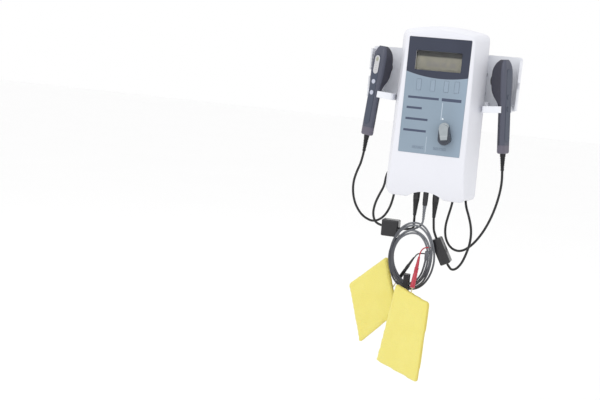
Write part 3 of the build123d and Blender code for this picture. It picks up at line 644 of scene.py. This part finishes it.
def handset_cord(side_name, side, points):
    name = f"handset_{side_name}"
    curve = route_curve(f"{name}_flex", points)
    path = read_line(curve)
    flex = add_piece(f"{name}_flex", tube_mesh(f"{name}_flex", curve, CORD), "cord", None, 60.0)
    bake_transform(flex)
    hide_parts(f"{name}_cord")
    plug, boot = handset_plug(name, side * 20.0)


handset_cord("left", -1, LEFT_CORD)
handset_cord("right", 1, RIGHT_CORD)


# ---------------------------------------------------------------- patient lead
LEAD = 4.2 * MM
LEAD_START = (0.0, -71.5, -262.5)
COIL_TURNS = 5
COIL_STEPS = 16                  # route points in each turn
COIL_BACK = -71.7                # depth of the first turn
COIL_STEP_OUT = 4.0              # forwards during the first turn
COIL_SPREAD = 5.9                # forwards over the other turns
COIL_MIDDLE = (-15.0, -339.0)
# each turn's reach from the coil's middle, outermost first: left, right, top, bottom
COIL_REACH = (
    (50.5, 52.0, 74.0, 76.0),
    (46.5, 46.0, 70.5, 70.5),
    (44.5, 41.5, 66.0, 67.0),
    (41.5, 38.5, 54.0, 63.0),
    (39.0, 34.5, 49.5, 59.0),
    (36.0, 30.0, 44.0, 55.0),
)


def coil_point(turn):
    """Centre of the lead after so many turns, anticlockwise from the top."""
    whole = min(int(turn), COIL_TURNS - 1)
    share = turn - whole
    angle = 2 * math.pi * share
    reach = [a + (b - a) * share for a, b in zip(COIL_REACH[whole], COIL_REACH[whole + 1])]
    x = -math.sin(angle)
    z = math.cos(angle)
    wide = reach[0] if x < 0 else reach[1]
    tall = reach[2] if z > 0 else reach[3]
    # a little unevenness, so that the turns don't lie like rings
    sway = 1.0 + 0.018 * math.sin(3.0 * angle + 2.3 * turn) + 0.012 * math.sin(5.0 * angle + 4.1 * turn)
    wide, tall = wide * min(sway, 1.02), tall * min(sway, 1.02)
    step_out = COIL_STEP_OUT * min(1.0, max(0.0, (turn - 0.25) / 0.75))
    spread = COIL_SPREAD * max(0.0, turn - 1.0) / (COIL_TURNS - 0.75)
    depth = COIL_BACK - step_out - spread
    return (COIL_MIDDLE[0] + x * wide, depth, COIL_MIDDLE[1] + z * tall)


def lead_route():
    route = [LEAD_START, (-0.4, -71.5, -268.0), (-3.5, -71.4, -274.5), (-10.5, -71.4, -280.0),
             (-20.5, -71.5, -285.0), (-33.0, -71.6, -292.0), (-46.0, -71.7, -303.0), (-56.0, -71.7, -318.0)]
    quarter = COIL_STEPS // 4
    for step in range(quarter, COIL_STEPS * COIL_TURNS - quarter + 1):
        route.append(coil_point(step / COIL_STEPS))
    return route


LEAD_ROUTE = lead_route()


def patient_lead():
    curve = route_curve("patient_lead", LEAD_ROUTE)
    curve.bevel_depth = LEAD / 2
    curve.bevel_resolution = 4
    lead = bpy.data.objects.new("patient_lead", curve)
    bpy.context.collection.objects.link(lead)
    curve.materials.append(LOOKS["lead"])
    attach(lead, "console")
    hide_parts("lead_coil")
    plug = lathe("lead_plug_body", Vector((0, -71.5, -192.05)) * MM, (0, 0, -1),
                 [(0.0, 5.2), (0.5, 5.6), (6, 5.6), (6.6, 5.0), (8.0, 5.0), (8.6, 5.6), (11, 5.6),
                  (11.6, 5.0), (13.0, 5.0), (13.6, 5.6), (30, 5.4), (39.0, 4.9), (39.9, 4.4)],
                 "lead_plug", "console")
    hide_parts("lead_plug")
    boot = lathe("lead_plug_sleeve", Vector((0, -71.5, -232.0)) * MM, (0, 0, -1),
                 ribbed(30.5, 4.0, 2.4, 6, 0.6, 2.05), "lead", "console")
    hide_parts("lead_plug_boot")
    end = Vector(LEAD_ROUTE[-1])
    back = (end - Vector(LEAD_ROUTE[-2])).normalized()
    split = lathe("lead_splitter", (end - back * 3) * MM, back,
                  [(0, 2.3), (0.6, 2.8), (4, 3.3), (12, 4.3), (17, 4.4), (18.4, 3.6), (18.9, 2.6)],
                  "lead", "console")
    return lead, plug, boot, split


lead, lead_plug, lead_boot, splitter = patient_lead()


TAIL = 2.6 * MM
# each tail runs on a little way into its plug
RED_LEAD = [(22, -76, -316), (13, -84, -315), (5, -87, -323), (3, -88, -336), (1.4, -100.5, -367.8)]
BLACK_LEAD = [(17, -76, -331), (0, -77, -329), (-9, -79, -341), (-25.0, -69.7, -369.4)]
RED_PLUG = ((3, -88, -336), (0, -112, -397), 5.0, 13)
BLACK_PLUG = ((-9, -79, -341), (-40, -61, -396), 4.0, 28)


def pin_plug(name, ends, look):
    """Test-lead plug: flared grip with rings, a waist and a metal pin."""
    start, finish, radius, tip = ends
    start, finish = Vector(start), Vector(finish)
    axis = (finish - start).normalized()
    length = (finish - start).length
    share = radius / 5.0
    profile = [(0.0, 1.6 * share), (0.5, 2.2 * share),
               (length * 0.16, 2.9 * share), (length * 0.34, 3.6 * share)]
    for ring in range(4):
        low = length * 0.36 + ring * 2.6
        profile += [(low, 4.4 * share), (low + 1.2, 4.4 * share)]
        profile += [(low + 1.5, 3.9 * share), (low + 2.3, 3.9 * share)]
    profile += [(length * 0.58, 4.5 * share), (length * 0.92, 5.0 * share), (length - 0.6, 5.0 * share),
                (length, 4.5 * share)]
    grip = lathe(f"{name}_grip", start * MM, axis, profile, look, "console")
    pin = lathe(f"{name}_pin", (finish - axis) * MM, axis,
                [(0, 1.2), (tip - 1, 1.2), (tip, 0.8)], "pin", "console", 24)
    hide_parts(f"{name}_plug")
    return grip, pin


def tail(name, points, ends, look, plug_look):
    curve = route_curve(f"{name}_tail", points)
    curve.bevel_depth = TAIL / 2
    curve.bevel_resolution = 4
    curve.materials.append(LOOKS[look])
    piece = bpy.data.objects.new(f"{name}_tail", curve)
    bpy.context.collection.objects.link(piece)
    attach(piece, "console")
    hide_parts(f"{name}_lead")
    grip, pin = pin_plug(name, ends, plug_look)


# ---------------------------------------------------------------- handset details
def stadium(half_width, half_height, steps=24):
    """Outline of an oval with round ends, in millimetres."""
    points = []
    straight = half_height - half_width
    for step in range(steps + 1):
        angle = math.pi * step / steps
        points.append((half_width * math.cos(angle), straight + half_width * math.sin(angle)))
    for step in range(steps + 1):
        angle = math.pi + math.pi * step / steps
        points.append((half_width * math.cos(angle), -straight + half_width * math.sin(angle)))
    return points


def handset_label(side_name, side):
    """Domed oval label stuck on the upper end of the inlay."""
    mesh = bpy.data.meshes.new(f"handset_{side_name}_label")
    made = bmesh.new()
    rings = []
    for scale, y in ((1.0, 0.0), (1.0, -0.22), (0.94, -0.36), (0.6, -0.42), (0.2, -0.44)):
        outline = stadium(6.6 * scale, 19.0 * scale if scale > 0.9 else 12.4 + 6.6 * scale)
        rings.append([made.verts.new((x * MM, y * MM, z * MM)) for x, z in outline])
    for low, high in zip(rings, rings[1:]):
        count = len(low)
        for step in range(count):
            after = (step + 1) % count
            made.faces.new((low[step], low[after], high[after], high[step]))
    made.faces.new(rings[-1])
    made.faces.new(list(reversed(rings[0])))
    bmesh.ops.recalc_face_normals(made, faces=made.faces)
    made.to_mesh(mesh)
    made.free()
    piece = bpy.data.objects.new(mesh.name, mesh)
    bpy.context.collection.objects.link(piece)
    mesh.materials.append(LOOKS["label"])
    mesh.shade_smooth()
    mesh.set_sharp_from_angle(angle=math.radians(50))
    piece.matrix_world = handset_matrix(side) @ Matrix.Translation(Vector((0, -9.06, -40.0)) * MM)
    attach(piece, f"handset_{side_name}")


def handset_relief(side_name, side):
    place = handset_matrix(side)
    top = place @ Vector((0, 0, -187.0 * MM))
    down = (place.to_3x3() @ Vector((0, 0, -1)))
    sleeve = lathe(f"handset_{side_name}_sleeve", top, down, ribbed(35.0, 5.8, 3.3, 7, 0.9, 2.6),
                   "rubber", f"handset_{side_name}")
    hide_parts(f"handset_{side_name}_strain_relief")


for side_name, side in (("left", -1), ("right", 1)):
    handset_relief(side_name, side)
handset_label("left", -1)


# ---------------------------------------------------------------- sponge pads
PADS = {
    "right": dict(turn=30.0, centre=(-7, -115, -489),
                  corners=((-34, 95), (60, 76), (51, -96), (-66, -84))),
    "left": dict(turn=20.0, centre=(-90, -40, -448),
                 corners=((19, 97), (62, -18), (-27, -110), (-72, 16))),
}
PAD_HALF = 6.5                   # half the thickness
PAD_VOXEL = 4.0
PAD_SWELL = 1.4                  # most that a point moves in the cloth run
CLOTH_FRAMES = 20


def rounded_outline(corners, inset, radius, steps=6):
    """The pad's outline with its corners rounded, inset from the CAD outline, in millimetres."""
    corners = [Vector(corner) for corner in corners]
    middle = sum(corners, Vector((0, 0))) / len(corners)
    pulled = [corner + (middle - corner).normalized() * inset * 1.4 for corner in corners]
    outline = []
    for index, here in enumerate(pulled):
        before = (pulled[index - 1] - here).normalized()
        after = (pulled[(index + 1) % len(pulled)] - here).normalized()
        start, end = here + before * radius, here + after * radius
        for step in range(steps + 1):
            share = step / steps
            outline.append(start * (1 - share) ** 2 + here * 2 * share * (1 - share) + end * share ** 2)
    return outline


def apply_modifiers(piece):
    graph = bpy.context.evaluated_depsgraph_get()
    mesh = bpy.data.meshes.new_from_object(piece.evaluated_get(graph))
    piece.modifiers.clear()
    piece.data = mesh
    return mesh


def puff(piece, cap):
    """Swell a pad with a short cloth run under pressure, and keep each point within cap of where it was."""
    before = [vertex.co.copy() for vertex in piece.data.vertices]
    cloth = piece.modifiers.new("cloth", "CLOTH")
    cloth.settings.use_pressure = True
    cloth.settings.uniform_pressure_force = 4.0
    cloth.settings.effector_weights.gravity = 0.0
    cloth.settings.quality = 5
    cloth.settings.mass = 0.3
    cloth.settings.tension_stiffness = 15.0
    cloth.settings.compression_stiffness = 15.0
    cloth.collision_settings.use_collision = False
    cloth.point_cache.frame_start = 1
    cloth.point_cache.frame_end = CLOTH_FRAMES
    scene = bpy.context.scene
    for step in range(1, CLOTH_FRAMES + 1):
        scene.frame_set(step)
    mesh = apply_modifiers(piece)
    for vertex, start in zip(mesh.vertices, before):
        shift = vertex.co - start
        if shift.length > cap:
            vertex.co = start + shift.normalized() * cap
    scene.frame_set(1)


def sponge_pad(name, turn, centre, corners):
    outline = rounded_outline(corners, 0.9, 4.5)
    made = bmesh.new()
    layers = []
    for w in (-PAD_HALF + 1.0, PAD_HALF - 1.0):
        layers.append([made.verts.new((point.x * MM, point.y * MM, w * MM)) for point in outline])
    made.faces.new(layers[1])
    made.faces.new(list(reversed(layers[0])))
    count = len(outline)
    for step in range(count):
        after = (step + 1) % count
        made.faces.new((layers[0][step], layers[0][after], layers[1][after], layers[1][step]))
    bmesh.ops.recalc_face_normals(made, faces=made.faces)
    mesh = bpy.data.meshes.new(f"{name}_sponge")
    made.to_mesh(mesh)
    made.free()
    pad = bpy.data.objects.new(f"{name}_sponge", mesh)
    bpy.context.collection.objects.link(pad)
    remesh = pad.modifiers.new("remesh", "REMESH")
    remesh.mode = "VOXEL"
    remesh.voxel_size = PAD_VOXEL * MM
    apply_modifiers(pad)
    smooth = pad.modifiers.new("smooth", "SMOOTH")
    smooth.factor = 0.5
    smooth.iterations = 3
    apply_modifiers(pad)
    puff(pad, PAD_SWELL * MM)
    subdivision = pad.modifiers.new("subdivision", "SUBSURF")
    subdivision.levels = 1
    apply_modifiers(pad)
    limit = (PAD_HALF - 0.1) * MM
    for vertex in pad.data.vertices:
        lump = noise.noise(vertex.co * 45.0) * 0.0005
        vertex.co.z = max(-limit, min(limit, vertex.co.z * (1 + lump / 0.006)))
    cut_pocket(pad, corners)
    pad.data.materials.clear()
    pad.data.materials.append(LOOKS["sponge"])
    pad.data.shade_smooth()
    pad.data.set_sharp_from_angle(angle=math.radians(55))
    angle = math.radians(turn)
    along, outward = math.cos(angle), math.sin(angle)
    axes = Matrix(((along, -outward, 0), (0, 0, 1), (-outward, -along, 0)))
    pad.matrix_world = Matrix.Translation(Vector(centre) * MM) @ axes.transposed().to_4x4()
    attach(pad, "console")
    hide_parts(f"{name}_sponge_pad")


def cut_pocket(pad, corners):
    """Open the pad along the edge between its first two corners, with lips that part in the middle."""
    first, second = Vector(corners[0]), Vector(corners[1])
    along = (second - first).normalized()
    outward = Vector((-along.y, along.x))
    span = (second - first).length
    made = bmesh.new()
    rings = []
    for step in range(13):
        share = step / 12
        place = first + along * (10 + (span - 20) * share)
        gap = 0.7 + 1.5 * math.sin(math.pi * share) ** 0.7
        inner, outer = place - outward * 30, place + outward * 6
        ring = []
        for point, half in ((inner, gap * 0.5), (outer, gap), (outer, -gap), (inner, -gap * 0.5)):
            ring.append(made.verts.new((point.x * MM, point.y * MM, half * MM)))
        rings.append(ring)
    for low, high in zip(rings, rings[1:]):
        for side in range(4):
            after = (side + 1) % 4
            made.faces.new((low[side], low[after], high[after], high[side]))
    made.faces.new(rings[0])
    made.faces.new(list(reversed(rings[-1])))
    bmesh.ops.recalc_face_normals(made, faces=made.faces)
    mesh = bpy.data.meshes.new("pocket_cutter")
    made.to_mesh(mesh)
    made.free()
    cutter = bpy.data.objects.new("pocket_cutter", mesh)
    bpy.context.collection.objects.link(cutter)
    cut = pad.modifiers.new("pocket", "BOOLEAN")
    cut.operation = "DIFFERENCE"
    cut.object = cutter
    cut.solver = "EXACT"
    apply_modifiers(pad)
    bpy.data.objects.remove(cutter)


for pad_name, pad_facts in PADS.items():
    sponge_pad(pad_name, **pad_facts)


# ---------------------------------------------------------------- console details
def indicator_lamp():
    lathe("indicator_lamp", Vector((21, -95.2, -52)) * MM, (0, -1, 0),
          [(0, 2.0), (0.7, 2.0), (1.3, 1.7), (1.7, 1.1), (1.9, 0.4)], "lamp", "console", 24)


indicator_lamp()
tail("red", RED_LEAD, RED_PLUG, "red_lead", "red")
tail("black", BLACK_LEAD, BLACK_PLUG, "cord", "black_plastic")


# ---------------------------------------------------------------- stage
FLOOR_Z = -0.80
LIGHTS_AIM = (0, -0.05, -0.15)
# place, diameter and power of each light
LIGHTS = {
    "key": ((-0.9, -2.0, 1.5), 1.4, 12.0),
    "fill": ((1.8, -1.6, 0.4), 1.6, 0.8),
    "rim": ((-0.6, 1.8, 1.4), 1.6, 1.5),
}


def area_light(name, place, size, energy):
    data = bpy.data.lights.new(name, "AREA")
    data.shape = "DISK"
    data.size = size
    data.energy = energy
    light = bpy.data.objects.new(name, data)
    bpy.context.collection.objects.link(light)
    light.location = place
    light.rotation_mode = "QUATERNION"
    light.rotation_quaternion = (Vector(LIGHTS_AIM) - Vector(place)).to_track_quat("-Z", "Y")


def set_stage():
    made = bmesh.new()
    bmesh.ops.create_grid(made, x_segments=8, y_segments=8, size=12.0)
    mesh = bpy.data.meshes.new("floor")
    made.to_mesh(mesh)
    made.free()
    floor = bpy.data.objects.new("floor", mesh)
    bpy.context.collection.objects.link(floor)
    floor.location = (0, 0, FLOOR_Z)
    graph = Graph("floor", 0.8)
    patch = graph.noise(2.0, 3.0)
    graph.set("Base Color", graph.mix(patch, (0.97, 0.97, 0.97, 1), (0.985, 0.985, 0.985, 1)))
    mesh.materials.append(graph.material)
    world = bpy.data.worlds.new("studio")
    world.use_nodes = True
    sky = world.node_tree.nodes["Background"]
    sky.inputs["Color"].default_value = (1.0, 1.0, 1.0, 1.0)
    sky.inputs["Strength"].default_value = 1.0
    bpy.context.scene.world = world
    for name, (place, size, energy) in LIGHTS.items():
        area_light(name, place, size, energy)
    bpy.context.scene.view_settings.view_transform = "Standard"


set_stage()
